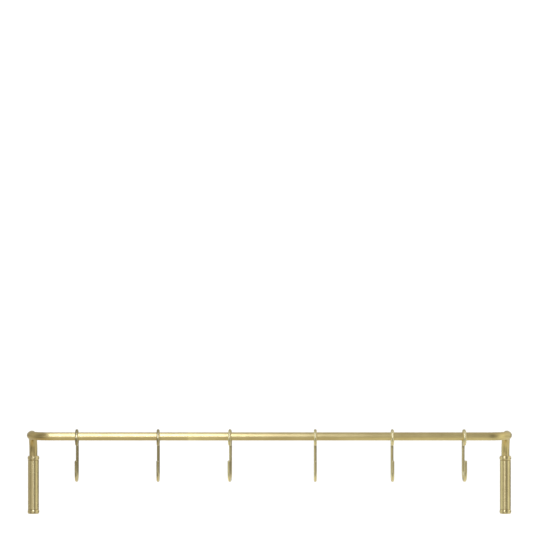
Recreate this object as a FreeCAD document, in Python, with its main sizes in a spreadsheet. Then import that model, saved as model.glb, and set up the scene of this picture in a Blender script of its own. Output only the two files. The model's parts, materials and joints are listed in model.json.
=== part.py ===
import FreeCAD, Part
import math
import os

import Sketcher

# Kitchen utensil rail: a bent brass rod that stands in two wall holders and carries sliding wire hooks.
# Millimetres. +X runs along the rail, +Y points to the wall and +Z is up.
# The origin is the centre of the four keyholes, on the line where the holders' tubes come nearest the wall.

doc = FreeCAD.newDocument("utensil_rail")

# Driving dimensions

SIZES = {
    # The bent rod
    "rod_diameter": 10.0,
    "front_run": 538.0,
    "front_bend": 26.0,
    "side_run": 12.0,
    "down_bend": 24.0,
    "leg_showing": 4.0,
    # The two holders
    "holder_length": 72.0,
    "holder_wall": 0.9,
    "holder_floor": 3.5,
    "mouth_chamfer": 0.3,
    "leg_clearance": 0.15,
    "screw_head_room": 1.65,
    "bead_height": 5.2,
    "bead_rise": 0.5,
    "groove_depth": 0.25,
    # The keyholes in the wall side of each holder
    "keyhole_entry": 7.0,
    "keyhole_slot": 4.0,
    "keyhole_climb": 5.0,
    "keyhole_below_mouth": 13.0,
    "keyhole_above_floor": 6.5,
    # The wire hooks
    "wire_diameter": 3.6,
    "eye_slack": 3.6,
    "eye_clearance": 0.3,
    "eye_end_clearance": 0.3,
    "hook_bend": 11.0,
    "shank_length": 41.5,
    "tip_length": 14.2,
    "wire_end_round": 1.4,
}

# How each hook is turned on the rail, in degrees, tip towards +X
HOOK_TURNS = [-0.2, 0.4, -4.2, -0.6, 0.2, 4.2]

# Gaps from bend to hook, hook to hook and hook to bend, which share out the front run
HOOK_GAPS = [32.4, 99.9, 88.2, 104.9, 94.7, 88.2, 29.7]

for number, turn in enumerate(HOOK_TURNS, start=1):
    SIZES[f"hook_turn_{number}"] = turn
for number, gap in enumerate(HOOK_GAPS, start=1):
    SIZES[f"hook_gap_{number}"] = gap

sheet = doc.addObject("Spreadsheet::Sheet", "sizes")
for row, (alias, value) in enumerate(SIZES.items(), start=1):
    sheet.set(f"A{row}", alias)
    sheet.set(f"B{row}", str(value))
    sheet.setAlias(f"B{row}", alias)
doc.recompute()

# Lengths and places worked out from the driving dimensions

ROD_RADIUS = "sizes.rod_diameter / 2"
LEG_HALF_SPACING = "(sizes.front_run / 2 + sizes.front_bend)"

BORE_RADIUS = "((sizes.rod_diameter + sizes.leg_clearance + sizes.screw_head_room) / 2)"
HOLDER_RADIUS = f"({BORE_RADIUS} + sizes.holder_wall)"
KEYHOLE_SPACING = (
    "(sizes.holder_length - sizes.holder_floor - sizes.keyhole_below_mouth - sizes.keyhole_above_floor)"
)
HOLDER_BASE_Z = f"(-{KEYHOLE_SPACING} / 2 - sizes.keyhole_above_floor - sizes.holder_floor)"
HOLDER_Y = f"(-{HOLDER_RADIUS})"

LEG_LENGTH = "(sizes.holder_length - sizes.holder_floor + sizes.leg_showing)"
LEG_BASE_Z = f"({HOLDER_BASE_Z} + sizes.holder_floor)"
LEG_Y = f"({HOLDER_Y} - {BORE_RADIUS} + sizes.leg_clearance + {ROD_RADIUS})"
RAIL_Z = f"({LEG_BASE_Z} + {LEG_LENGTH} + sizes.down_bend)"
SIDE_Y = f"({LEG_Y} - sizes.down_bend - sizes.side_run)"
FRONT_Y = f"({SIDE_Y} - sizes.front_bend)"

WIRE_RADIUS = "sizes.wire_diameter / 2"
EYE_INSIDE_RADIUS = "((sizes.rod_diameter + sizes.eye_slack) / 2)"
EYE_BEND = f"({EYE_INSIDE_RADIUS} + {WIRE_RADIUS})"
EYE_HEIGHT = f"({ROD_RADIUS} + sizes.eye_clearance - {EYE_INSIDE_RADIUS})"
HOOK_BEND_HEIGHT = f"({EYE_HEIGHT} - sizes.shank_length)"
TIP_HEIGHT = f"({HOOK_BEND_HEIGHT} + sizes.tip_length)"
TIP_REACH = f"({EYE_BEND} - 2 * sizes.hook_bend)"

# The eye's wire stops where its outer corner comes within the clearance of the shank
EYE_END_COSINE = (
    f"(({EYE_BEND} - {WIRE_RADIUS} - sizes.eye_end_clearance) / ({EYE_BEND} + {WIRE_RADIUS}))"
)
EYE_END_REACH = f"({EYE_BEND} * {EYE_END_COSINE})"


def number_of(expression):
    """The value an expression has now, used to draw geometry close to where its constraints put it."""
    return float(sheet.evalExpression(expression))


def place(thing, x, y, z, rotation=None):
    """Binds a thing's position to three expressions and gives it a fixed rotation."""
    thing.Placement = FreeCAD.Placement(FreeCAD.Vector(), rotation or FreeCAD.Rotation())
    thing.setExpression("Placement.Base.x", x)
    thing.setExpression("Placement.Base.y", y)
    thing.setExpression("Placement.Base.z", z)


def sketch_on(body, role, name):
    """A sketch on one of the body's own origin planes."""
    sketch = body.newObject("Sketcher::SketchObject", name)
    plane = next(feature for feature in body.Origin.OriginFeatures if feature.Role == role)
    sketch.AttachmentSupport = (plane, "")
    sketch.MapMode = "FlatFace"
    return sketch


def size_constraint(sketch, kind, arguments, expression):
    """Adds one dimension to a sketch and binds it to an expression."""
    index = sketch.addConstraint(Sketcher.Constraint(kind, *arguments, number_of(expression)))
    sketch.setExpression(f"Constraints[{index}]", expression)


ORIGIN_POINT = (-1, 1)
START, END, CENTRE = range(1, 4)


def pin(sketch, geometry, point, x, y):
    """Holds a point of a sketch at two expressions, measured from the sketch's origin."""
    size_constraint(sketch, "DistanceX", (*ORIGIN_POINT, geometry, point), x)
    size_constraint(sketch, "DistanceY", (*ORIGIN_POINT, geometry, point), y)


def flat_point(x, y):
    return FreeCAD.Vector(number_of(x), number_of(y), 0)


def add_circle(sketch, x, y, radius):
    circle = Part.Circle(flat_point(x, y), FreeCAD.Vector(0, 0, 1), number_of(radius))
    index = sketch.addGeometry(circle)
    pin(sketch, index, CENTRE, x, y)
    size_constraint(sketch, "Radius", (index,), radius)


def add_arc(sketch, x, y, radius, first_angle, last_angle):
    """Draws an arc, counter-clockwise and in degrees, for constraints to hold."""
    circle = Part.Circle(flat_point(x, y), FreeCAD.Vector(0, 0, 1), number_of(radius))
    arc = Part.ArcOfCircle(circle, math.radians(first_angle), math.radians(last_angle))
    return sketch.addGeometry(arc)


def add_line(sketch, first_point, last_point):
    return sketch.addGeometry(Part.LineSegment(flat_point(*first_point), flat_point(*last_point)))


def tangent(sketch, first, first_end, second, second_end):
    sketch.addConstraint(Sketcher.Constraint("Tangent", first, first_end, second, second_end))


# The rail: straight runs and quarter bends of one rod, joined into one solid

ALONG_X = FreeCAD.Rotation(FreeCAD.Vector(0, 1, 0), 90)
ALONG_Y = FreeCAD.Rotation(FreeCAD.Vector(1, 0, 0), -90)
ALONG_Z = FreeCAD.Rotation()
QUARTER_TURN = 90

# Turns for the quarter bends, each named for the sides of its centre where the bend starts and ends
BACK_TO_UP = FreeCAD.Rotation(FreeCAD.Vector(1, 1, 1), 120)
LEFT_TO_FRONT = FreeCAD.Rotation(FreeCAD.Vector(0, 0, 1), 180)
FRONT_TO_RIGHT = FreeCAD.Rotation(FreeCAD.Vector(0, 0, 1), -90)


def straight_run(name, length, x, y, z, rotation):
    run = doc.addObject("Part::Cylinder", name)
    run.setExpression("Radius", ROD_RADIUS)
    run.setExpression("Height", length)
    place(run, x, y, z, rotation)
    return run


def quarter_bend(name, bend_radius, x, y, z, rotation):
    bend = doc.addObject("Part::Torus", name)
    bend.setExpression("Radius1", bend_radius)
    bend.setExpression("Radius2", ROD_RADIUS)
    bend.Angle3 = QUARTER_TURN
    place(bend, x, y, z, rotation)
    return bend


def side_of_rail(side, sign, front_rotation):
    """The bends, side run and leg at one end of the rail. sign is -1 at the left and 1 at the right."""
    x = f"{sign} * {LEG_HALF_SPACING}"
    run_end = f"{sign} * sizes.front_run / 2"
    down_y = f"{LEG_Y} - sizes.down_bend"
    down_z = f"{RAIL_Z} - sizes.down_bend"
    return [
        quarter_bend(f"{side}_front_bend", "sizes.front_bend", run_end, SIDE_Y, RAIL_Z, front_rotation),
        straight_run(f"{side}_side_run", "sizes.side_run", x, SIDE_Y, RAIL_Z, ALONG_Y),
        quarter_bend(f"{side}_down_bend", "sizes.down_bend", x, down_y, down_z, BACK_TO_UP),
        straight_run(f"{side}_leg", LEG_LENGTH, x, LEG_Y, LEG_BASE_Z, ALONG_Z),
    ]


front = straight_run("front", "sizes.front_run", "-sizes.front_run / 2", FRONT_Y, RAIL_Z, ALONG_X)
left_end = side_of_rail("left", -1, LEFT_TO_FRONT)
right_end = side_of_rail("right", 1, FRONT_TO_RIGHT)

rail = doc.addObject("Part::MultiFuse", "rail")
rail.Label = "rail"
rail.Shapes = [front, *left_end, *right_end]


# The holders: turned tubes with a floor, a bead at each end and two keyholes in the wall side


def holder_profile(body):
    """Half of the holder's section: x is the radius and y the height above its foot."""
    sketch = sketch_on(body, "XZ_Plane", "turned_profile")
    groove_radius = f"({HOLDER_RADIUS} - sizes.groove_depth)"
    mouth_radius = f"({BORE_RADIUS} + sizes.mouth_chamfer)"
    mouth_height = "(sizes.holder_length - sizes.mouth_chamfer)"
    top_bead_foot = "(sizes.holder_length - sizes.bead_height)"
    bead_starts = [(groove_radius, "0"), (groove_radius, top_bead_foot)]
    corners = [
        ("0", "0"),
        bead_starts[0],
        (groove_radius, "sizes.bead_height"),
        (HOLDER_RADIUS, "(sizes.bead_height + sizes.groove_depth)"),
        (HOLDER_RADIUS, f"({top_bead_foot} - sizes.groove_depth)"),
        bead_starts[-1],
        (groove_radius, "sizes.holder_length"),
        (mouth_radius, "sizes.holder_length"),
        (BORE_RADIUS, mouth_height),
        (BORE_RADIUS, "sizes.holder_floor"),
        ("0", "sizes.holder_floor"),
    ]
    bead_bulge = "(sizes.bead_rise + sizes.groove_depth)"
    bead_radius = f"(sizes.bead_height ^ 2 / (8 * {bead_bulge}) + {bead_bulge} / 2)"
    bead_centre = f"({HOLDER_RADIUS} + sizes.bead_rise - {bead_radius})"
    for index, corner in enumerate(corners):
        following = corners[(index + 1) % len(corners)]
        if corner in bead_starts:
            middle = f"({corner[1]} + sizes.bead_height / 2)"
            half_angle = math.degrees(math.asin(number_of(f"sizes.bead_height / 2 / {bead_radius}")))
            add_arc(sketch, bead_centre, middle, bead_radius, -half_angle, half_angle)
            size_constraint(sketch, "Radius", (index,), bead_radius)
        else:
            add_line(sketch, corner, following)
    for index, corner in enumerate(corners):
        before = (index - 1) % len(corners)
        sketch.addConstraint(Sketcher.Constraint("Coincident", before, END, index, START))
        pin(sketch, index, START, *corner)
    return sketch


def keyhole_heights():
    lower = "(sizes.holder_floor + sizes.keyhole_above_floor)"
    return [lower, f"({lower} + {KEYHOLE_SPACING})"]


def entry_sketch(body):
    sketch = sketch_on(body, "XZ_Plane", "keyhole_entries")
    for height in keyhole_heights():
        add_circle(sketch, "0", height, "sizes.keyhole_entry / 2")
    return sketch


def slot_sketch(body):
    """Upright slots with round ends, each rising from the centre of an entry hole."""
    sketch = sketch_on(body, "XZ_Plane", "keyhole_slots")
    slot_radius = "(sizes.keyhole_slot / 2)"
    for height in keyhole_heights():
        top = f"({height} + sizes.keyhole_climb)"
        right = add_line(sketch, (slot_radius, height), (slot_radius, top))
        crown = add_arc(sketch, "0", top, slot_radius, 0, 180)
        left = add_line(sketch, (f"-{slot_radius}", top), (f"-{slot_radius}", height))
        foot = add_arc(sketch, "0", height, slot_radius, 180, 360)
        tangent(sketch, right, END, crown, START)
        tangent(sketch, crown, END, left, START)
        tangent(sketch, left, END, foot, START)
        tangent(sketch, foot, END, right, START)
        pin(sketch, crown, CENTRE, "0", top)
        pin(sketch, foot, CENTRE, "0", height)
        size_constraint(sketch, "Radius", (crown,), slot_radius)
    return sketch


def wall_side_pocket(body, name, sketch):
    """Cuts from the holder's axis out through the wall side alone, and makes sure that it cut something."""
    volume_before = body.Shape.Volume
    pocket = body.newObject("PartDesign::Pocket", name)
    pocket.Profile = sketch
    pocket.setExpression("Length", f"2 * {HOLDER_RADIUS}")
    doc.recompute()
    stops_short = pocket.AddSubShape.BoundBox.YMax < body.Shape.BoundBox.YMax
    if body.Shape.Volume >= volume_before or stops_short:
        raise RuntimeError(f"{body.Label}: {name} missed the wall side")


def make_holder(label, sign):
    body = doc.addObject("PartDesign::Body", label)
    body.Label = label
    profile = holder_profile(body)
    turned = body.newObject("PartDesign::Revolution", "turned_tube")
    turned.Profile = profile
    turned.ReferenceAxis = (profile, ["V_Axis"])
    turned.Angle = 360
    doc.recompute()
    wall_side_pocket(body, "entries", entry_sketch(body))
    wall_side_pocket(body, "slots", slot_sketch(body))
    place(body, f"{sign} * {LEG_HALF_SPACING}", HOLDER_Y, HOLDER_BASE_Z)
    return body


holders = [make_holder("left_holder", -1), make_holder("right_holder", 1)]


# The hooks: one wire each, with a closed eye round the rod, a shank behind it and a J open to the front


def wire_path(body):
    """The wire's centre line in the hook's plane: from the tip round the J, up the shank, round the eye."""
    sketch = sketch_on(body, "YZ_Plane", "wire_path")
    tip = (TIP_REACH, TIP_HEIGHT)
    bend_start = (TIP_REACH, HOOK_BEND_HEIGHT)
    bend_end = (EYE_BEND, HOOK_BEND_HEIGHT)
    eye_start = (EYE_BEND, EYE_HEIGHT)
    bend_centre = f"({EYE_BEND} - sizes.hook_bend)"
    eye_end_angle = 360 - math.degrees(math.acos(number_of(EYE_END_COSINE)))

    tip_line = add_line(sketch, tip, bend_start)
    hook_arc = add_arc(sketch, bend_centre, HOOK_BEND_HEIGHT, "sizes.hook_bend", 180, 360)
    shank_line = add_line(sketch, bend_end, eye_start)
    eye_arc = add_arc(sketch, "0", EYE_HEIGHT, EYE_BEND, 0, eye_end_angle)

    tangent(sketch, tip_line, END, hook_arc, START)
    tangent(sketch, hook_arc, END, shank_line, START)
    tangent(sketch, shank_line, END, eye_arc, START)
    sketch.addConstraint(Sketcher.Constraint("Vertical", tip_line))
    sketch.addConstraint(Sketcher.Constraint("Vertical", shank_line))
    size_constraint(sketch, "Radius", (hook_arc,), "sizes.hook_bend")
    size_constraint(sketch, "Radius", (eye_arc,), EYE_BEND)
    pin(sketch, eye_arc, CENTRE, "0", EYE_HEIGHT)
    size_constraint(sketch, "DistanceY", (*ORIGIN_POINT, hook_arc, CENTRE), HOOK_BEND_HEIGHT)
    size_constraint(sketch, "DistanceY", (*ORIGIN_POINT, tip_line, START), TIP_HEIGHT)
    size_constraint(sketch, "DistanceX", (*ORIGIN_POINT, eye_arc, END), EYE_END_REACH)
    return sketch


def wire_section(body):
    """The wire's round section, level with the tip."""
    sketch = sketch_on(body, "XY_Plane", "wire_section")
    sketch.setExpression("AttachmentOffset.Base.z", TIP_HEIGHT)
    add_circle(sketch, "0", TIP_REACH, WIRE_RADIUS)
    return sketch


def end_edges(shape):
    """Names of the edges round the wire's two flat ends."""
    names = []
    flat_faces = [face for face in shape.Faces if isinstance(face.Surface, Part.Plane)]
    for face in flat_faces:
        for index, edge in enumerate(shape.Edges, start=1):
            if any(edge.isSame(border) for border in face.Edges):
                names.append(f"Edge{index}")
    return names


def make_hook(number):
    label = f"hook_{number}"
    body = doc.addObject("PartDesign::Body", label)
    body.Label = label
    path = wire_path(body)
    section = wire_section(body)
    doc.recompute()
    wire = body.newObject("PartDesign::AdditivePipe", "bent_wire")
    wire.Profile = section
    wire.Spine = (path, [""])
    doc.recompute()
    rounding = body.newObject("PartDesign::Fillet", "rounded_ends")
    rounding.Base = (wire, end_edges(wire.Shape))
    rounding.setExpression("Radius", "min(sizes.wire_end_round; 0.45 * sizes.wire_diameter)")
    gaps_before = " + ".join(f"sizes.hook_gap_{gap}" for gap in range(1, number + 1))
    all_gaps = " + ".join(f"sizes.hook_gap_{gap}" for gap in range(1, len(HOOK_GAPS) + 1))
    along = f"sizes.front_run * (({gaps_before}) / ({all_gaps}) - 0.5)"
    place(body, along, FRONT_Y, RAIL_Z)
    body.setExpression("Placement.Rotation.Angle", f"sizes.hook_turn_{number}")
    return body


hooks = [make_hook(number) for number in range(1, len(HOOK_TURNS) + 1)]

# Check the whole document, then write each piece

doc.recompute()
pieces = [rail, *holders, *hooks]

for item in doc.Objects:
    if "Invalid" in item.State or "Error" in item.State:
        raise RuntimeError(f"{item.Label} failed: {item.State}")
for piece in pieces:
    if piece.Shape.isNull() or not piece.Shape.isValid():
        raise RuntimeError(f"{piece.Label} has no valid shape")
    if len(piece.Shape.Solids) != 1:
        raise RuntimeError(f"{piece.Label} is not one solid")

os.makedirs("parts", exist_ok=True)
for piece in pieces:
    piece.Shape.exportStep(f"parts/{piece.Label}.step")
    box = piece.Shape.BoundBox
    print(
        f"{piece.Label}: volume {piece.Shape.Volume:.1f}"
        f" x {box.XMin:.2f} to {box.XMax:.2f} y {box.YMin:.2f} to {box.YMax:.2f}"
        f" z {box.ZMin:.2f} to {box.ZMax:.2f}"
    )
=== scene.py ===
import json
import math

import bmesh
import bpy
import numpy as np
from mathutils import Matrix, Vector


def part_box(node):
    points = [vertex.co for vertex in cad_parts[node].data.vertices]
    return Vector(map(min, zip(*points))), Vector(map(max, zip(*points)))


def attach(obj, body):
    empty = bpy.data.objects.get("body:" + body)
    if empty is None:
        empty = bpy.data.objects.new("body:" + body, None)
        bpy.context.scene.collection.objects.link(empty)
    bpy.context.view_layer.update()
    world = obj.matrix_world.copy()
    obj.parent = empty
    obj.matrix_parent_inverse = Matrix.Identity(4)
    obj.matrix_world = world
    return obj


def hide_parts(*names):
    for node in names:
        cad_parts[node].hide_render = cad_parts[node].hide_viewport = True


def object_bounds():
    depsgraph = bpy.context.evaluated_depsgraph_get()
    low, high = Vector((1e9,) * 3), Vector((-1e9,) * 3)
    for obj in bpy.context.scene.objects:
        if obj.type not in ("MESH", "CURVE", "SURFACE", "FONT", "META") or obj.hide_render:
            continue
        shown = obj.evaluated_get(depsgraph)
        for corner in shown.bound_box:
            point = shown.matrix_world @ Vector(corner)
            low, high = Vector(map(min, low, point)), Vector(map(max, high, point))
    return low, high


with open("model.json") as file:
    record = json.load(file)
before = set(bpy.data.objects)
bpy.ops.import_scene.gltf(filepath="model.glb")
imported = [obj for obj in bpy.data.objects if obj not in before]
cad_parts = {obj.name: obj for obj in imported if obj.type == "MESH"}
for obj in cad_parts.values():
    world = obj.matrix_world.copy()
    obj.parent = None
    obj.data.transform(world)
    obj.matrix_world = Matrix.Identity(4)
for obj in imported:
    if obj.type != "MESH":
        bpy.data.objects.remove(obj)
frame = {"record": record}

cad_low, cad_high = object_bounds()


# The holders
# Two short brass tubes turned from bar. Each has a bead at its foot and at its mouth, and a blind bore for
# a leg. Two keyholes in its wall side drop over the heads of screws in the wall.

TUBE_RADIUS = 0.0068
BORE_RADIUS = 0.0059
BORE_FLOOR = 0.0035
BEAD_HEIGHT = 0.0052
BEAD_RISE = 0.0005
BEAD_ROWS = 17
GROOVE_DEPTH = 0.00025
MOUTH_CHAMFER = 0.0003
SLOT_RADIUS = 0.002
SLOT_CLIMB = 0.005
KEYHOLE_MIDDLE = 0.0015
TUBE_COLUMNS = 96
DISC_ROWS = 5
PATCH_HALF_COLUMNS = 12
PATCH_BELOW = 0.0044
PATCH_ABOVE = 0.0074
PATCH_ROWS = 20
PATCH_RINGS = 6
ROWS_BETWEEN_PATCHES = 16
HOLDER_SHARP_ANGLE = 28
SPREAD_LEAN = 0.5
HOLDER_CLEAN = (0.80, 0.685, 0.41)
HOLDER_DULLED = (0.72, 0.605, 0.35)
HOLDER_ROUGHNESS = (0.26, 0.34)
HOLDER_SPREADING = 0.6
HOLDER_LINE_SCALE = (60.0, 5200.0, 5200.0)
MILLIMETRES_IN_METRE = 1000
NEAR_ZERO = 1e-6
WELD_DISTANCE = 1e-6

keyhole_mount = frame["record"]["mounts"][0]
keyhole_sizes = keyhole_mount["dims"]
entry_radius = keyhole_sizes["hole_r_mm"] / MILLIMETRES_IN_METRE
half_spacing = keyhole_sizes["spacing_y_mm"] / 2 / MILLIMETRES_IN_METRE
mount_height = keyhole_mount["pos_m"][2]
keyhole_heights = [mount_height - half_spacing, mount_height + half_spacing]


def bead(foot):
    """Radius and height over one bead that starts at height foot: an arc that leaves the groove and stands
    BEAD_RISE out of the tube. An arc that bulges by b over a height h has the radius h^2 / 8b + b / 2."""
    bulge = BEAD_RISE + GROOVE_DEPTH
    arc_radius = BEAD_HEIGHT**2 / (8 * bulge) + bulge / 2
    height = np.linspace(0, BEAD_HEIGHT, BEAD_ROWS)
    reach = np.sqrt(arc_radius**2 - (height - BEAD_HEIGHT / 2) ** 2) - (arc_radius - bulge)
    return TUBE_RADIUS - GROOVE_DEPTH + reach, foot + height


def turned_sheet(radii, heights):
    """A profile turned about the upright: (r sin a, r cos a, z), with a = 0 on the wall side."""
    angles = np.linspace(0, 2 * math.pi, TUBE_COLUMNS, endpoint=False)
    radii = np.asarray(radii, dtype=float)[:, None]
    heights = np.broadcast_to(np.asarray(heights, dtype=float)[:, None], (len(heights), TUBE_COLUMNS))
    return np.stack([radii * np.sin(angles), radii * np.cos(angles), heights], axis=-1)


def wall_rows(low, high):
    """Heights of the rows in a tube wall, close together where a keyhole is cut and wide apart between."""
    patches = [np.linspace(z - PATCH_BELOW, z + PATCH_ABOVE, PATCH_ROWS + 1) for z in keyhole_heights]
    between_patches = np.linspace(patches[0][-1], patches[1][0], ROWS_BETWEEN_PATCHES)[1:-1]
    return np.concatenate([[low], patches[0], between_patches, patches[1], [high]])


def wall_kept(rows):
    """Marks the quads of a tube wall that stay, which leaves a window round each keyhole."""
    middles = (rows[:-1] + rows[1:]) / 2
    columns = (np.arange(TUBE_COLUMNS) + PATCH_HALF_COLUMNS) % TUBE_COLUMNS
    in_columns = columns < 2 * PATCH_HALF_COLUMNS
    in_rows = np.zeros(len(middles), dtype=bool)
    for height in keyhole_heights:
        in_rows |= (middles > height - PATCH_BELOW) & (middles < height + PATCH_ABOVE)
    return ~(in_rows[:, None] & in_columns[None, :])


def window_edge():
    """Turn about the upright and rise above the entry's centre, for each corner once round a window."""
    half = PATCH_HALF_COLUMNS * 2 * math.pi / TUBE_COLUMNS
    across = np.linspace(-half, half, 2 * PATCH_HALF_COLUMNS + 1)
    climb = np.linspace(-PATCH_BELOW, PATCH_ABOVE, PATCH_ROWS + 1)
    far_side = np.full(PATCH_ROWS, half)
    lower_side = np.full(len(across) - 1, climb[0])
    upper_side = np.full(len(across) - 1, climb[-1])
    turns = np.concatenate([across[:-1], far_side, across[:0:-1], -far_side])
    rises = np.concatenate([lower_side, climb[:-1], upper_side, climb[:0:-1]])
    return turns, rises


def keyhole_reach(angles):
    """Distance from the keyhole's middle to its edge: the farther of the entry and the slot. A ray leaves
    a circle of radius r, whose centre lies d below the middle, at -d sin a + sqrt(r^2 - (d cos a)^2)."""

    def circle_exit(height, radius):
        offset = KEYHOLE_MIDDLE - height
        inside = np.maximum(radius**2 - (offset * np.cos(angles)) ** 2, 0)
        return -offset * np.sin(angles) + np.sqrt(inside)

    side_exit = SLOT_RADIUS / np.maximum(np.abs(np.cos(angles)), NEAR_ZERO)
    side_height = KEYHOLE_MIDDLE + side_exit * np.sin(angles)
    slot_exit = np.where(side_height > SLOT_CLIMB, circle_exit(SLOT_CLIMB, SLOT_RADIUS), side_exit)
    slot_exit = np.where(side_height < 0, circle_exit(0, SLOT_RADIUS), slot_exit)
    return np.maximum(circle_exit(0, entry_radius), slot_exit)


def keyhole_sheets(height):
    """The wall round one keyhole: rings from the window in the tube to the keyhole's edge, outside and in
    the bore, and the cut between them. A ring is (1 - t) window + t edge, laid on the tube as
    y = sqrt(r^2 - x^2)."""
    turns, rises = window_edge()
    angles = np.arctan2(rises - KEYHOLE_MIDDLE, TUBE_RADIUS * np.sin(turns))
    reach = keyhole_reach(angles)
    edge_x = reach * np.cos(angles)
    edge_z = KEYHOLE_MIDDLE + reach * np.sin(angles)
    shares = np.linspace(0, 1, PATCH_RINGS)[:, None]

    def on_tube(radius):
        x = (1 - shares) * radius * np.sin(turns) + shares * edge_x
        z = (1 - shares) * rises + shares * edge_z
        return np.stack([x, np.sqrt(radius**2 - x**2), height + z], axis=-1)

    outside = on_tube(TUBE_RADIUS)
    inside = on_tube(BORE_RADIUS)
    cut = np.stack([outside[-1], inside[-1]])
    return [outside, inside, cut]


def holder_sheets(low, high):
    """The ring grids of one holder about its own axis: the foot from the middle of its underside, the
    outside, the mouth, the bore and its floor, and the wall round each keyhole. A grid goes with the quads
    of it that stay, or None for all."""
    foot_radii, foot_heights = bead(low.z)
    mouth_radii, mouth_heights = bead(high.z - BEAD_HEIGHT)
    outer_rows = wall_rows(low.z + BEAD_HEIGHT + GROOVE_DEPTH, high.z - BEAD_HEIGHT - GROOVE_DEPTH)
    bore_rows = wall_rows(low.z + BORE_FLOOR, high.z - MOUTH_CHAMFER)
    disc = np.linspace(0, 1, DISC_ROWS)
    groove_radius = TUBE_RADIUS - GROOVE_DEPTH
    mouth_radius = BORE_RADIUS + MOUTH_CHAMFER
    foot = turned_sheet(
        np.concatenate([disc * groove_radius, foot_radii[1:], [TUBE_RADIUS]]),
        np.concatenate([np.full(DISC_ROWS, low.z), foot_heights[1:], [outer_rows[0]]]),
    )
    mouth = turned_sheet(
        np.concatenate([[TUBE_RADIUS], mouth_radii, [mouth_radius, BORE_RADIUS]]),
        np.concatenate([[outer_rows[-1]], mouth_heights, [high.z, bore_rows[-1]]]),
    )
    outside = turned_sheet(np.full(len(outer_rows), TUBE_RADIUS), outer_rows)
    bore = turned_sheet(np.full(len(bore_rows), BORE_RADIUS), bore_rows)
    floor_of_bore = turned_sheet(disc * BORE_RADIUS, np.full(DISC_ROWS, bore_rows[0]))
    sheets = [
        (foot, None),
        (outside, wall_kept(outer_rows)),
        (mouth, None),
        (bore, wall_kept(bore_rows)),
        (floor_of_bore, None),
    ]
    for height in keyhole_heights:
        sheets += [(sheet, None) for sheet in keyhole_sheets(height)]
    return sheets


def fading(distance, length):
    """A share that is 1 at no distance and fades as exp(-(d / length)^2)."""
    return np.exp(-((distance / length) ** 2))


def holder_attributes(points, low, high):
    """What a holder's brass reads at each point. Drawn follows the tool: slow round the tube, fast up it.
    Spread points up, across the tool's lines, which is the way that they spread a reflection, and leans
    outward for the flat ends. Patina lies in the grooves and in the bore."""
    radii = np.hypot(points[:, 0], points[:, 1])
    drawn = np.stack([points[:, 1], points[:, 2], radii], axis=1)
    outward = points[:, :2] / np.maximum(radii, NEAR_ZERO)[:, None]
    spread = np.concatenate([SPREAD_LEAN * outward, np.ones((len(points), 1))], axis=1)
    groove_heights = np.array([low.z + BEAD_HEIGHT, high.z - BEAD_HEIGHT])
    groove_distance = np.abs(points[:, 2, None] - groove_heights).min(axis=1)
    in_groove = fading(groove_distance, GROOVE_DEPTH)
    in_bore = np.clip((TUBE_RADIUS - GROOVE_DEPTH - radii) / GROOVE_DEPTH, 0, 1)
    return {"drawn": drawn, "spread": spread, "patina": np.maximum(in_groove, in_bore)}


def grid_quads(rows, columns):
    """Corner numbers of the quads of a grid that closes round its columns."""
    row, column = np.meshgrid(np.arange(rows - 1), np.arange(columns), indexing="ij")
    following = (column + 1) % columns
    corners = [row * columns + column, row * columns + following]
    corners += [corners[1] + columns, corners[0] + columns]
    return np.stack(corners, axis=-1)


def welded_piece(name, sheets, attributes, sharp_degrees):
    """Joins ring grids into one closed mesh. A sheet is a grid of points and the quads of it that stay, or
    None for all. The attributes hold one array per name, in the order of the points."""
    vertices = []
    quads = []
    first = 0
    for points, kept in sheets:
        rows, columns = points.shape[:2]
        sheet_quads = first + grid_quads(rows, columns)
        quads.append(sheet_quads.reshape(-1, 4) if kept is None else sheet_quads[kept])
        vertices.append(points.reshape(-1, 3))
        first += rows * columns
    mesh = bpy.data.meshes.new(name)
    mesh.from_pydata(np.concatenate(vertices).tolist(), [], np.concatenate(quads).tolist())
    for attribute_name, values in attributes.items():
        if values.ndim == 2:
            layer = mesh.attributes.new(attribute_name, "FLOAT_VECTOR", "POINT")
            layer.data.foreach_set("vector", values.ravel())
        else:
            layer = mesh.attributes.new(attribute_name, "FLOAT", "POINT")
            layer.data.foreach_set("value", values)
    shell = bmesh.new()
    shell.from_mesh(mesh)
    bmesh.ops.remove_doubles(shell, verts=shell.verts, dist=WELD_DISTANCE)
    bmesh.ops.recalc_face_normals(shell, faces=shell.faces)
    shell.to_mesh(mesh)
    shell.free()
    mesh.shade_smooth()
    mesh.set_sharp_from_angle(angle=math.radians(sharp_degrees))
    piece = bpy.data.objects.new(name, mesh)
    bpy.context.scene.collection.objects.link(piece)
    return piece


def make_holder(name, node):
    """One turned tube where its node stands: the holder's grids, moved to the middle of the node's box."""
    low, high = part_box(node)
    axis = np.array([(low.x + high.x) / 2, (low.y + high.y) / 2, 0.0])
    sheets = holder_sheets(low, high)
    points = np.concatenate([sheet.reshape(-1, 3) for sheet, kept in sheets])
    placed = [(sheet + axis, kept) for sheet, kept in sheets]
    return welded_piece(name, placed, holder_attributes(points, low, high), HOLDER_SHARP_ANGLE)


def fill(tree, socket, value):
    """Links a node's output to a socket, or sets the socket to a plain value."""
    if isinstance(value, bpy.types.NodeSocket):
        tree.links.new(value, socket)
    else:
        socket.default_value = value


def add_node(tree, kind, **inputs):
    """A shader node whose named inputs are set, or linked where an output is given."""
    node = tree.nodes.new(kind)
    for key, value in inputs.items():
        fill(tree, node.inputs[key.replace("_", " ")], value)
    return node


def noise(tree, vector, scale, detail):
    """Smooth noise from 0 to 1 over a place."""
    return add_node(tree, "ShaderNodeTexNoise", Vector=vector, Scale=scale, Detail=detail).outputs["Fac"]


def attribute(tree, name, output):
    """What the mesh's attribute of that name holds."""
    node = tree.nodes.new("ShaderNodeAttribute")
    node.attribute_name = name
    return node.outputs[output]


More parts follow.
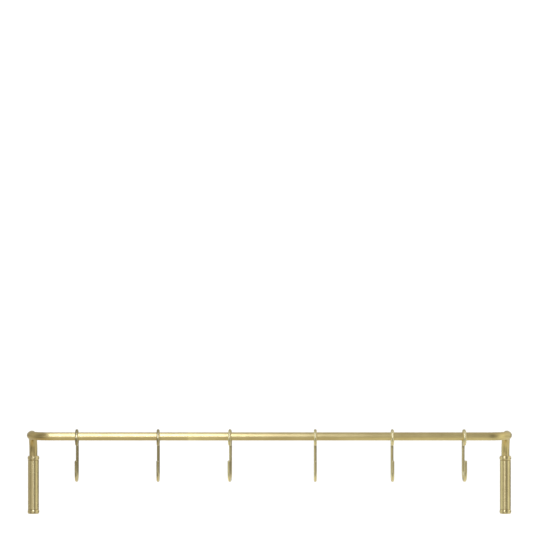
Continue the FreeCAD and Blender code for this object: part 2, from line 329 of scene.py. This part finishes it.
def carried(tree, value, low, high, low_result, high_result):
    """Carries a value from one range to another, held inside it."""
    ends = {"From_Min": low, "From_Max": high, "To_Min": low_result, "To_Max": high_result}
    return add_node(tree, "ShaderNodeMapRange", Value=value, **ends).outputs["Result"]


def blended(tree, factor, first, second, way="MIX"):
    """A colour between two colours, or the first tinted by the second. Each is given as a plain colour or
    as an output."""
    node = tree.nodes.new("ShaderNodeMix")
    node.data_type = "RGBA"
    node.blend_type = way
    tree.links.new(factor, node.inputs["Factor"])
    sockets = [socket for socket in node.inputs if socket.type == "RGBA"]
    for socket, value in zip(sockets, (first, second)):
        fill(tree, socket, (*value, 1) if isinstance(value, tuple) else value)
    return next(socket for socket in node.outputs if socket.type == "RGBA")


BROWN_TARNISH = (0.30, 0.195, 0.085)
SPECK = (0.24, 0.17, 0.08)
# Scale and detail of each pattern in the brass
LINE_PATTERN = (1.0, 3.0)
PATCH_PATTERN = (45.0, 4.0)
HANDLING_PATTERN = (130.0, 3.0)
SPECK_PATTERN = (2100.0, 1.0)
# The part of each pattern's range over which it comes in
LINE_RANGE = (0.45, 0.75)
PATCH_RANGE = (0.40, 0.68)
HANDLING_RANGE = (0.3, 0.7)
SPECK_RANGE = (0.68, 0.80)
# How far each colour covers the metal at most
LINE_COVER = 0.22
SPECK_COVER = 0.35
TARNISH_COVER = 0.75
BUMP_STRENGTH = 0.3
LINE_DEPTH = 0.000012
DENT_DEPTH = 0.00012


def brass(name, colours, roughness, spreading, line_scale):
    """Bare brass: clean metal with dulled patches, tarnish where the patina attribute says, which on
    the rail and hooks is partly painted shade, fine dark specks, tool lines that follow the drawn attribute
    and spread reflections across themselves, and a roughness that wanders with handling."""
    clean, dulled, tarnish = colours
    material = bpy.data.materials.new(name)
    material.use_nodes = True
    tree = material.node_tree
    shader = tree.nodes["Principled BSDF"]
    place = tree.nodes.new("ShaderNodeTexCoord").outputs["Object"]
    drawn = attribute(tree, "drawn", "Vector")
    line_place = add_node(tree, "ShaderNodeMapping", Vector=drawn, Scale=line_scale).outputs["Vector"]

    lines = noise(tree, line_place, *LINE_PATTERN)
    patches = noise(tree, place, *PATCH_PATTERN)
    handling = noise(tree, place, *HANDLING_PATTERN)
    specks = noise(tree, place, *SPECK_PATTERN)
    patina = attribute(tree, "patina", "Fac")

    colour = blended(tree, carried(tree, patches, *PATCH_RANGE, 0, 1), clean, dulled)
    colour = blended(tree, carried(tree, lines, *LINE_RANGE, 0, LINE_COVER), colour, dulled)
    colour = blended(tree, carried(tree, specks, *SPECK_RANGE, 0, SPECK_COVER), colour, SPECK)
    # Tarnish from the patina attribute: real patina on the holders, and on the rail and hooks also painted
    # shade, with their clean places as painted light.
    colour = blended(tree, carried(tree, patina, 0, 1, 0, TARNISH_COVER), colour, tarnish)
    tree.links.new(colour, shader.inputs["Base Color"])
    shader.inputs["Metallic"].default_value = 1.0
    shader.inputs["Anisotropic"].default_value = spreading
    tree.links.new(attribute(tree, "spread", "Vector"), shader.inputs["Tangent"])
    tree.links.new(carried(tree, handling, *HANDLING_RANGE, *roughness), shader.inputs["Roughness"])

    fine = add_node(tree, "ShaderNodeBump", Strength=BUMP_STRENGTH, Distance=LINE_DEPTH, Height=lines)
    dents = add_node(tree, "ShaderNodeBump", Strength=BUMP_STRENGTH, Distance=DENT_DEPTH, Height=handling)
    tree.links.new(fine.outputs["Normal"], dents.inputs["Normal"])
    tree.links.new(dents.outputs["Normal"], shader.inputs["Normal"])
    return material


holder_colours = (HOLDER_CLEAN, HOLDER_DULLED, BROWN_TARNISH)
holder_brass = brass(
    "turned_holder_brass",
    holder_colours,
    HOLDER_ROUGHNESS,
    HOLDER_SPREADING,
    HOLDER_LINE_SCALE,
)
for node in ("left_holder", "right_holder"):
    holder = make_holder(f"{node}_tube", node)
    holder.data.materials.append(holder_brass)
    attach(holder, "rail_and_holders")
    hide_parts(node)


# The rail
# One solid brass rod, drawn straight and then bent cold: a long front run, a round bend back at each end,
# a short side run and a bend down into each leg. It stands in the holders by its own weight.

ROD_RADIUS = 0.005
FRONT_BEND = 0.026
DOWN_BEND = 0.024
LEG_END_ROUND = 0.0006
ROD_STEP = 0.0015
FEWEST_STEPS = 2
ROD_COLUMNS = 64
ROUND_ROWS = 7
ROUND_MARGIN = 1.1
ROD_SHARP_ANGLE = 60
ROD_CLEAN = (0.80, 0.67, 0.36)
ROD_DULLED = (0.73, 0.60, 0.31)
ROD_ROUGHNESS = (0.30, 0.38)
ROD_SPREADING = 0.6
ROD_LINE_SCALE = (25.0, 4200.0, 4200.0)
# Tarnish at each end of the rail, partly painted shade, more on the left
LEFT_END_TARNISH_AND_SHADE = 0.32
RIGHT_END_TARNISH_AND_SHADE = 0.10
END_FADE_LENGTH = 0.030

X_AXIS = np.array([1.0, 0.0, 0.0])
Z_AXIS = np.array([0.0, 0.0, 1.0])
QUARTER_TURN = math.pi / 2

rail_low, rail_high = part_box("rail")
rail_height = rail_high.z - ROD_RADIUS
front_depth = rail_low.y + ROD_RADIUS
leg_depth = rail_high.y - ROD_RADIUS
leg_reach = rail_high.x - ROD_RADIUS
leg_foot = rail_low.z
leg_run = rail_height - DOWN_BEND - leg_foot
side_run = leg_depth - front_depth - DOWN_BEND - FRONT_BEND
front_run = 2 * (leg_reach - FRONT_BEND)
down_arc = DOWN_BEND * QUARTER_TURN
front_arc = FRONT_BEND * QUARTER_TURN
end_length = leg_run + down_arc + side_run + front_arc


def turned_about(vector, axis, angles):
    """A vector turned about a unit axis: v cos a + (axis x v) sin a + axis (axis . v)(1 - cos a)."""
    cosine = np.cos(angles)[:, None]
    sine = np.sin(angles)[:, None]
    return vector * cosine + np.cross(axis, vector) * sine + axis * (axis @ vector) * (1 - cosine)


def bent_path(start, heading, side, moves, step):
    """Points, headings and side vectors along straight runs and tangent bends. A run is p + t h.
    A bend turns p - c, h and the side vector about an axis through c = p + r (axis x h)."""
    points = [np.array([start])]
    headings = [np.array([heading])]
    sides = [np.array([side])]
    for length, axis, angle in moves:
        point = points[-1][-1]
        heading = headings[-1][-1]
        side = sides[-1][-1]
        count = max(FEWEST_STEPS, math.ceil(length / step))
        share = np.linspace(0, 1, count + 1)[1:]
        if axis is None:
            points.append(point + (share * length)[:, None] * heading)
            headings.append(np.tile(heading, (count, 1)))
            sides.append(np.tile(side, (count, 1)))
        else:
            centre = point + length / angle * np.cross(axis, heading)
            points.append(centre + turned_about(point - centre, axis, share * angle))
            headings.append(turned_about(heading, axis, share * angle))
            sides.append(turned_about(side, axis, share * angle))
    return np.concatenate(points), np.concatenate(headings), np.concatenate(sides)


def rod_piece(name, path, radius, rounding, columns, patina_and_shade_along):
    """A round section carried along a path: p + r(s) (cos a side + sin a up). At each end r follows a
    quarter circle and then closes to a point. The drawn attribute is the same surface on the rod before it
    was bent, spread points round the rod, across its lines, and patina, tarnish with painted shade
    in it, is patina_and_shade_along of the distance from the rod's start."""
    points, headings, sides = path
    steps = np.linalg.norm(np.diff(points, axis=0), axis=1)
    distances = np.concatenate([[0], np.cumsum(steps)])
    length = distances[-1]
    round_steps = rounding * (1 - np.cos(np.linspace(0, QUARTER_TURN, ROUND_ROWS)))
    margin = ROUND_MARGIN * rounding
    inner = distances[(distances > margin) & (distances < length - margin)]
    stations = np.concatenate([round_steps, inner, length - round_steps[::-1]])
    depth = np.clip(np.minimum(stations, length - stations) / rounding, 0, 1)
    radii = radius - rounding + rounding * np.sqrt(1 - (1 - depth) ** 2)
    stations = np.concatenate([[0], stations, [length]])
    radii = np.concatenate([[0], radii, [0]])[:, None]

    def at_stations(values):
        return np.stack([np.interp(stations, distances, column) for column in values.T], axis=1)[:, None]

    centres = at_stations(points)
    sides = at_stations(sides)
    ups = np.cross(at_stations(headings), sides)
    angles = np.linspace(0, 2 * math.pi, columns, endpoint=False)
    across = radii * np.cos(angles)
    over = radii * np.sin(angles)
    rings = centres + across[..., None] * sides + over[..., None] * ups
    drawn = np.stack([np.broadcast_to(stations[:, None], across.shape), across, over], axis=-1)
    spread = np.cos(angles)[:, None] * ups - np.sin(angles)[:, None] * sides
    patina = np.broadcast_to(patina_and_shade_along(stations)[:, None], across.shape)
    attributes = {
        "drawn": drawn.reshape(-1, 3),
        "spread": spread.reshape(-1, 3),
        "patina": patina.ravel(),
    }
    return welded_piece(name, [(rings, None)], attributes, ROD_SHARP_ANGLE)


def rail_path():
    """From the foot of the left leg, up and over to the front, along the run and down to the right foot."""
    moves = [
        (leg_run, None, 0),
        (down_arc, X_AXIS, QUARTER_TURN),
        (side_run, None, 0),
        (front_arc, Z_AXIS, QUARTER_TURN),
        (front_run, None, 0),
        (front_arc, Z_AXIS, QUARTER_TURN),
        (side_run, None, 0),
        (down_arc, -X_AXIS, QUARTER_TURN),
        (leg_run, None, 0),
    ]
    start = np.array([-leg_reach, leg_depth, leg_foot])
    return bent_path(start, Z_AXIS, X_AXIS, moves, ROD_STEP)


def eased(share):
    """A share held between 0 and 1 and eased at both ends: s^2 (3 - 2s)."""
    share = np.clip(share, 0, 1)
    return share**2 * (3 - 2 * share)


def rail_patina_and_shade(along):
    """Patina and painted shade along the rail: the ends, which hands seldom reach, are tarnished and
    darkened as painted shade, the left one more, and the front run is rubbed clean. Each end fades about
    the place where its front bend meets the run, so the painted shade also dims the highlight on the bend."""
    from_right = along.max() - along
    left_share = eased(0.5 + (end_length - along) / END_FADE_LENGTH)
    right_share = eased(0.5 + (end_length - from_right) / END_FADE_LENGTH)
    return LEFT_END_TARNISH_AND_SHADE * left_share + RIGHT_END_TARNISH_AND_SHADE * right_share


rail = rod_piece("rail_rod", rail_path(), ROD_RADIUS, LEG_END_ROUND, ROD_COLUMNS, rail_patina_and_shade)
rod_colours = (ROD_CLEAN, ROD_DULLED, BROWN_TARNISH)
rail_brass = brass("drawn_rod_brass", rod_colours, ROD_ROUGHNESS, ROD_SPREADING, ROD_LINE_SCALE)
rail.data.materials.append(rail_brass)
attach(rail, "rail_and_holders")
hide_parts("rail")


# The hooks
# Six lengths of drawn brass wire, each bent into an eye round the rail, a straight shank behind it and a J
# that opens to the front. The ends are rounded, and the eye's end stops just short of the shank.

WIRE_RADIUS = 0.0018
WIRE_END_ROUND = 0.0014
WIRE_STEP = 0.0006
WIRE_COLUMNS = 32
EYE_BEND = 0.0086
HOOK_BEND = 0.011
TIP_LENGTH = 0.0142
EYE_END_GAP = 0.0003
HOOK_TURNS = [-0.2, 0.4, -4.2, -0.6, 0.2, 4.2]
HOOK_CLEAN = (0.95, 0.86, 0.60)
HOOK_DULLED = (0.86, 0.76, 0.50)
GREY_TARNISH = (0.26, 0.215, 0.115)
HOOK_ROUGHNESS = (0.09, 0.14)
HOOK_SPREADING = 0.0
HOOK_LINE_SCALE = (60.0, 6000.0, 6000.0)
# Tarnish of each hook, which is partly painted shade on its shank and on its eye's top
HOOK_TARNISH_AND_SHADE = [1.0, 0.9, 0.75, 0.65, 0.55, 0.55]
# Where each hook is worn clean and lighter, partly as painted light: the J's foot, the eye's front at the
# key's highlight, and under the eye
WORN_AND_LIT_FOOT_LENGTH = 0.015
WORN_AND_LIT_BEFORE_FOOT = 0.003
WORN_AND_LIT_EYE_LENGTH = 0.0022
WORN_AND_LIT_ABOVE_FRONT = 0.0016
WORN_AND_LIT_UNDER_EYE = 0.4
WORN_AND_LIT_UNDER_LENGTH = 0.0045
# A band of painted shade on the shank, just below the eye's bottom
SHADE_BAND_BELOW_EYE = 0.0116
SHADE_BAND_LENGTH = 0.0016


def hook_path(pivot_x, turn, eye_height, bend_height):
    """From the tip down and round the J, up the shank and round the eye, in a plane turned about the
    upright. The eye's end meets the shank, less its gap, where
    cos a = (bend - wire - gap) / (bend + wire)."""
    eye_end = math.acos((EYE_BEND - WIRE_RADIUS - EYE_END_GAP) / (EYE_BEND + WIRE_RADIUS))
    eye_turn = 2 * math.pi - eye_end
    axis = np.array([math.cos(turn), math.sin(turn), 0.0])
    to_wall = np.array([-math.sin(turn), math.cos(turn), 0.0])
    moves = [
        (TIP_LENGTH, None, 0),
        (HOOK_BEND * math.pi, axis, math.pi),
        (eye_height - bend_height, None, 0),
        (EYE_BEND * eye_turn, axis, eye_turn),
    ]
    pivot = np.array([pivot_x, front_depth, bend_height + TIP_LENGTH])
    tip = pivot + (EYE_BEND - 2 * HOOK_BEND) * to_wall
    return bent_path(tip, -Z_AXIS, axis, moves, WIRE_STEP)


def hook_patina_and_shade(tarnish, shank_length):
    """Patina and painted light along a hook: tarnish on the tip and the shank, partly painted shade, and on
    the eye twice that less 1, not below 0, which darkens the eye's top as painted shade. It is worn off at
    the foot of the J by utensils and at the front of the eye by hands, and partly under the eye, and these
    clean places are also painted light, lighter where the floor's reflection and the key's highlight fall.
    A band of painted shade lies where the eye closes on the shank."""
    foot = TIP_LENGTH + HOOK_BEND * QUARTER_TURN
    eye_start = TIP_LENGTH + HOOK_BEND * math.pi + shank_length
    eye_front = eye_start + EYE_BEND * math.pi
    eye_under = eye_front + EYE_BEND * QUARTER_TURN
    # Painted shade on the eye's top, darker on the more tarnished hooks
    eye_tarnish_and_shade = max(2 * tarnish - 1, 0)

    def patina_and_shade_along(along):
        # Clean places that are worn and also painted light: the J's foot, a narrow band at the eye's
        # highlight, and under the eye
        worn_and_lit_foot = fading(along - foot + WORN_AND_LIT_BEFORE_FOOT, WORN_AND_LIT_FOOT_LENGTH)
        worn_and_lit_eye = fading(along - eye_front + WORN_AND_LIT_ABOVE_FRONT, WORN_AND_LIT_EYE_LENGTH)
        worn_and_lit_under = WORN_AND_LIT_UNDER_EYE * fading(along - eye_under, WORN_AND_LIT_UNDER_LENGTH)
        # Painted shade: a dark band on the shank just below the eye's bottom
        painted_shade_band = fading(along - eye_start + SHADE_BAND_BELOW_EYE, SHADE_BAND_LENGTH)
        on_eye = np.clip((along - eye_start) / EYE_BEND, 0, 1)
        general = tarnish + (eye_tarnish_and_shade - tarnish) * on_eye
        return np.maximum(general * (1 - worn_and_lit_foot) * (1 - worn_and_lit_eye) * (1 - worn_and_lit_under), painted_shade_band)

    return patina_and_shade_along


hook_colours = (HOOK_CLEAN, HOOK_DULLED, GREY_TARNISH)
hook_brass = brass("hook_wire_brass", hook_colours, HOOK_ROUGHNESS, HOOK_SPREADING, HOOK_LINE_SCALE)
for number, (degrees, tarnish) in enumerate(zip(HOOK_TURNS, HOOK_TARNISH_AND_SHADE), start=1):
    node = f"hook_{number}"
    turn = math.radians(degrees)
    low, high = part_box(node)
    pivot_x = (low.x + high.x) / 2 - (HOOK_BEND - EYE_BEND) * math.sin(turn)
    eye_height = high.z - WIRE_RADIUS - EYE_BEND
    bend_height = low.z + WIRE_RADIUS + HOOK_BEND
    path = hook_path(pivot_x, turn, eye_height, bend_height)
    patina = hook_patina_and_shade(tarnish, eye_height - bend_height)
    wire = rod_piece(f"{node}_wire", path, WIRE_RADIUS, WIRE_END_ROUND, WIRE_COLUMNS, patina)
    wire.data.materials.append(hook_brass)
    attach(wire, node)
    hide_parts(node)


# The stage
# A plain pale floor below the rail. Soft lamps stand at the front left and overhead, and weak cards light
# the right end. A studio of soft greys, amber from below on the left, shows only in reflections.

FLOOR_DROP = 0.16
FLOOR_HALF_WIDTH = 20.0
FLOOR_PAINT = (0.92, 0.92, 0.92, 1)
FLOOR_ROUGHNESS = 0.9

floor_height = cad_low.z - FLOOR_DROP
floor_corners = [(-1, -1), (1, -1), (1, 1), (-1, 1)]
floor_points = [(x * FLOOR_HALF_WIDTH, y * FLOOR_HALF_WIDTH, floor_height) for x, y in floor_corners]
floor_mesh = bpy.data.meshes.new("floor")
floor_mesh.from_pydata(floor_points, [], [(0, 1, 2, 3)])
floor = bpy.data.objects.new("floor", floor_mesh)
bpy.context.scene.collection.objects.link(floor)
floor_paint = bpy.data.materials.new("pale_floor")
floor_paint.use_nodes = True
floor_shader = floor_paint.node_tree.nodes["Principled BSDF"]
floor_shader.inputs["Base Color"].default_value = FLOOR_PAINT
floor_shader.inputs["Roughness"].default_value = FLOOR_ROUGHNESS
floor_mesh.materials.append(floor_paint)
floor.visible_glossy = False


def soft_light(name, location, target, size, brightness, colour):
    """A rectangular lamp that faces a target and that the camera doesn't see. Its power is pi times area
    times brightness."""
    light = bpy.data.lights.new(name, "AREA")
    light.shape = "RECTANGLE"
    light.size, light.size_y = size
    light.energy = math.pi * size[0] * size[1] * brightness
    light.color = colour
    lamp = bpy.data.objects.new(name, light)
    bpy.context.scene.collection.objects.link(lamp)
    lamp.location = location
    lamp.rotation_euler = (Vector(target) - Vector(location)).to_track_quat("-Z", "Y").to_euler()
    lamp.visible_camera = False


COOL_WHITE = (0.94, 1.0, 1.12)
SOFT_GREEN = (0.88, 1.0, 0.80)
# Each lamp's place, the place that it faces, its two sides, its brightness and its colour
LAMPS = {
    "key": ((-0.225, -1.15, 0.79), (-0.225, front_depth, rail_height), (0.39, 1.50), 3.0, COOL_WHITE),
    "key_edge": ((-0.515, -1.15, 0.79), (-0.515, front_depth, rail_height), (0.19, 1.50), 0.7, COOL_WHITE),
    "overhead": ((-0.35, -0.07, 1.60), (-0.35, front_depth, rail_height), (0.5, 1.2), 0.70, COOL_WHITE),
    "floor_card": ((0.45, -0.10, -0.15), (0.45, -0.10, 1.0), (0.7, 0.8), 0.15, SOFT_GREEN),
    "side_card": ((1.0, -0.35, 0.05), (0.25, -0.03, 0.02), (0.5, 0.9), 0.30, SOFT_GREEN),
    "end_card": ((0.522, 0.06, 0.068), (leg_reach, -0.05, rail_height), (0.15, 0.065), 0.55, SOFT_GREEN),
    "wall_card": ((-0.10, 0.0, 0.0), (1.0, 0.0, 0.0), (0.50, 0.5), 0.32, SOFT_GREEN),
}
for name, lamp_values in LAMPS.items():
    soft_light(name, *lamp_values)


# Brightness of the studio round the horizon, by degrees from the front towards the right
HORIZON_LEVELS = [
    (-180, 0.46),
    (-158, 0.36),
    (-135, 0.26),
    (-112, 0.43),
    (-97, 0.50),
    (-72, 0.46),
    (-52, 0.46),
    (-33, 0.88),
    (-12, 0.66),
    (2, 0.42),
    (25, 0.27),
    (40, 0.40),
    (62, 0.70),
    (80, 0.64),
    (92, 0.40),
    (104, 0.18),
    (128, 0.18),
    (152, 0.34),
    (180, 0.46),
]
# Brightness of the studio above the horizon, by the same degrees
UPPER_LEVELS = [
    (-180, 0.45),
    (-140, 0.45),
    (-98, 0.62),
    (-78, 0.34),
    (-54, 0.24),
    (-25, 0.40),
    (0, 0.42),
    (25, 0.18),
    (42, 0.36),
    (69, 0.72),
    (100, 0.85),
    (140, 0.70),
    (180, 0.45),
]
# Brightness of the studio below the horizon, by the same degrees
LOWER_LEVELS = [
    (-180, 0.70),
    (-110, 0.62),
    (-85, 0.33),
    (-50, 0.19),
    (-30, 0.38),
    (-10, 0.62),
    (0, 0.58),
    (8, 0.37),
    (18, 0.17),
    (35, 0.28),
    (60, 0.62),
    (85, 0.66),
    (115, 0.64),
    (180, 0.70),
]
# Brightness of the rest of the studio by height, from straight down at -1 to straight up at 1
HEIGHT_LEVELS = [(-1.0, 0.60), (-0.6, 0.62), (-0.25, 0.60), (0.3, 0.42), (0.8, 0.42), (1.0, 0.42)]
# How much of the horizon and of the parts above and below it shows at each height
HORIZON_SHARES = [(-1.0, 0.0), (-0.35, 0.0), (-0.10, 1.0), (1.0, 1.0)]
UPPER_SHARES = [(-1.0, 0.0), (0.04, 0.0), (0.20, 1.0), (0.70, 1.0), (0.90, 0.4), (1.0, 0.0)]
LOWER_SHARES = [(-1.0, 0.0), (-0.85, 0.0), (-0.65, 1.0), (-0.25, 1.0), (-0.06, 0.0), (1.0, 0.0)]
# Where the studio is amber, by height and by the same degrees
AMBER_SHARES = [(-1.0, 1.0), (-0.9, 1.0), (-0.6, 0.0), (1.0, 0.0)]
AMBER_SIDE = [(-180, 0.4), (-150, 1.0), (-30, 1.0), (-5, 0.2), (20, 0.0), (160, 0.0), (180, 0.4)]
AMBER = (1.0, 0.86, 0.58)
WARM_TINT = (1.0, 0.96, 0.78)
BLACK = (0, 0, 0)
ROOM_WHITE = (1.2, 1.2, 1.2)
HALF_CIRCLE = 180


def warm_grey(level):
    """A level of the studio's own warm grey."""
    return tuple(level * tint for tint in WARM_TINT)


def plain_grey(level):
    """A level of grey with no tint, for a share."""
    return (level, level, level)


def ramp(tree, factor, stops):
    """Colours along a factor from 0 to 1, given as pairs of place and colour."""
    node = tree.nodes.new("ShaderNodeValToRGB")
    tree.links.new(factor, node.inputs["Fac"])
    elements = node.color_ramp.elements
    while len(elements) < len(stops):
        elements.new(1.0)
    for element, (position, colour) in zip(elements, stops):
        element.position = position
        element.color = (*colour, 1)
    return node.outputs["Color"]


def calculated(tree, operation, first, second):
    """The result of a math operation on two values, each a number or an output."""
    node = tree.nodes.new("ShaderNodeMath")
    node.operation = operation
    fill(tree, node.inputs[0], first)
    fill(tree, node.inputs[1], second)
    return node.outputs[0]


world = bpy.data.worlds.new("studio")
bpy.context.scene.world = world
world.use_nodes = True
tree = world.node_tree
ray = tree.nodes.new("ShaderNodeTexCoord").outputs["Generated"]
direction = add_node(tree, "ShaderNodeSeparateXYZ", Vector=ray).outputs
to_front = calculated(tree, "MULTIPLY", direction["Y"], -1)
azimuth = calculated(tree, "ARCTAN2", direction["X"], to_front)
round_share = carried(tree, azimuth, -math.pi, math.pi, 0, 1)
height_share = carried(tree, direction["Z"], -1, 1, 0, 1)


def by_degrees(levels, shade):
    """Levels round the horizon as a ramp, each made a colour by shade."""
    stops = [((angle + HALF_CIRCLE) / (2 * HALF_CIRCLE), shade(level)) for angle, level in levels]
    return ramp(tree, round_share, stops)


def by_height(levels, shade):
    """Levels from straight down to straight up as a ramp, each made a colour by shade."""
    return ramp(tree, height_share, [((height + 1) / 2, shade(level)) for height, level in levels])


studio = by_height(HEIGHT_LEVELS, warm_grey)
for shares, levels in (
    (HORIZON_SHARES, HORIZON_LEVELS),
    (UPPER_SHARES, UPPER_LEVELS),
    (LOWER_SHARES, LOWER_LEVELS),
):
    studio = blended(tree, by_height(shares, plain_grey), studio, by_degrees(levels, warm_grey))
amber_side = by_degrees(AMBER_SIDE, plain_grey)
amber_share = blended(tree, by_height(AMBER_SHARES, plain_grey), BLACK, amber_side)
studio = blended(tree, amber_share, studio, AMBER, "MULTIPLY")
reflected = tree.nodes.new("ShaderNodeLightPath").outputs["Is Glossy Ray"]
tree.links.new(blended(tree, reflected, ROOM_WHITE, studio), tree.nodes["Background"].inputs["Color"])


# The camera
# A level camera with a long lens, at the height and distance that give the photograph's view. The rail
# lies low in the picture, so the camera stands well above it and doesn't look down.

PICTURE = 540
SENSOR = 36.0
CAMERA_DISTANCE = 3.6
PIXELS_PER_METRE = 813.8
RAIL_BELOW_CENTRE = 166.4
RAIL_LEFT_OF_CENTRE = 0.6

camera_data = bpy.data.cameras.new("camera")
camera_data.sensor_width = SENSOR
camera_data.lens = SENSOR * PIXELS_PER_METRE * CAMERA_DISTANCE / PICTURE
camera = bpy.data.objects.new("camera", camera_data)
bpy.context.scene.collection.objects.link(camera)
camera.location = (
    RAIL_LEFT_OF_CENTRE / PIXELS_PER_METRE,
    front_depth - CAMERA_DISTANCE,
    rail_height + RAIL_BELOW_CENTRE / PIXELS_PER_METRE,
)
camera.rotation_euler = (QUARTER_TURN, 0, 0)
bpy.context.scene.camera = camera
bpy.context.scene.view_settings.view_transform = "Standard"
